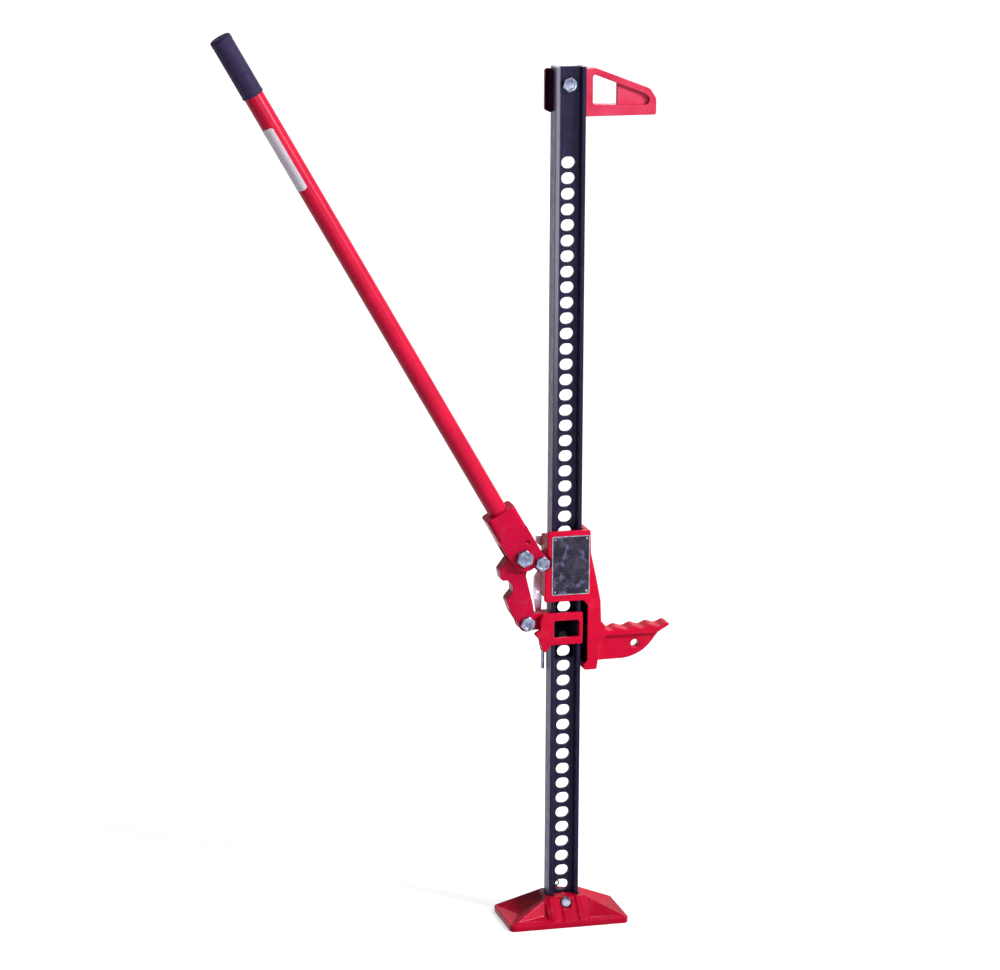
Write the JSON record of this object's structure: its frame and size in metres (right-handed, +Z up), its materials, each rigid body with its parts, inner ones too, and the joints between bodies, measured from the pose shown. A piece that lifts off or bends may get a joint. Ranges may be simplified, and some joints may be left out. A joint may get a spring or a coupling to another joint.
{
  "type": "rack lifting jack",
  "caption": "Tall farm-style rack jack: holed I-section rack on a base plate, two climbing runners, toothed toe, pitman, long gripped lever handle and a top clamp.",
  "frame": {"origin": "centre of the base plate's underside, on the rack's axis", "axes": "+Z up along the rack, +X towards the lifting toe, -Y towards the front where the bolt heads and data plate are"},
  "size_m": [0.6564, 0.129, 1.2965],
  "materials": {
    "red_paint": "semi-gloss crimson paint on cast iron",
    "red_gloss": "gloss crimson paint on steel tube",
    "dark_enamel": "near-black enamel on rolled steel",
    "zinc_plating": "bright zinc plating",
    "dark_steel": "oiled black-oxide steel",
    "spring_steel": "oiled spring wire",
    "plate_metal": "dark printed metal plate, blank",
    "grip_rubber": "matte dark violet rubber",
    "label_film": "blank white film"
  },
  "bodies": {
    "rack": {"rack_bar": "dark_enamel", "base_plate": "red_paint", "base_pin": "zinc_plating", "base_cotter": "zinc_plating", "top_clamp": "red_paint", "top_clamp_bolt": "zinc_plating", "top_clamp_nut": "zinc_plating"},
    "large_runner": {"large_runner": "red_paint", "data_plate": "plate_metal", "shear_bolt": "zinc_plating", "shear_nut": "zinc_plating", "upper_spring_cap": "dark_steel", "upper_pin_spring": "spring_steel", "latch_pivot_screw": "dark_steel"},
    "upper_pin": {"upper_climbing_pin": "dark_steel", "upper_cross_pin": "zinc_plating"},
    "small_runner": {"small_runner": "red_paint", "lower_spring_cap": "dark_steel", "lower_pin_spring": "spring_steel", "release_rod": "zinc_plating"},
    "lower_pin": {"lower_climbing_pin": "dark_steel", "lower_cross_pin": "zinc_plating"},
    "handle": {"handle_socket": "red_paint", "handle_tube": "red_gloss", "handle_grip": "grip_rubber", "handle_label": "label_film", "tube_roll_pin": "dark_steel", "pitman_upper_bolt": "zinc_plating", "pitman_upper_nut": "zinc_plating"},
    "pitman": {"pitman": "red_paint", "pitman_lower_bolt": "zinc_plating", "pitman_lower_nut": "zinc_plating"},
    "latch": {"reversing_latch": "zinc_plating"}
  },
  "joints": [
    {"name": "runner_slide", "type": "slide", "parent": "rack", "child": "large_runner", "axis": [0, 0, 1], "range_m": [-0.308, 0.572]},
    {"name": "handle_hinge", "type": "hinge", "parent": "large_runner", "child": "handle", "pos_m": [-0.038, 0, 0.538], "axis": [0, 1, 0], "range_deg": [-50, 20]},
    {"name": "small_runner_slide", "type": "slide", "parent": "large_runner", "child": "small_runner", "axis": [0, 0, 1], "range_m": [-0.0225, 0.0092]},
    {"name": "pitman_hinge", "type": "hinge", "parent": "handle", "child": "pitman", "pos_m": [-0.064, 0, 0.547], "axis": [0, 1, 0], "range_deg": [-20.5, 50.5]},
    {"name": "upper_pin_slide", "type": "slide", "parent": "large_runner", "child": "upper_pin", "axis": [0, 1, 0], "range_m": [-0.0108, 0.003], "stiffness_N_per_m": 700, "springref_m": -0.014, "deforming": ["upper_pin_spring"]},
    {"name": "lower_pin_slide", "type": "slide", "parent": "small_runner", "child": "lower_pin", "axis": [0, 1, 0], "range_m": [-0.0108, 0.003], "stiffness_N_per_m": 700, "springref_m": -0.014, "deforming": ["lower_pin_spring"]},
    {"name": "latch_hinge", "type": "hinge", "parent": "large_runner", "child": "latch", "pos_m": [-0.021, 0.0246, 0.54], "axis": [0, 1, 0], "range_deg": [-8, 0]}
  ],
  "couplings": [
    {"joint": "small_runner_slide", "follows": "handle_hinge", "m_per_rad": 0.02521},
    {"joint": "pitman_hinge", "follows": "handle_hinge", "ratio": -1}
  ]
}
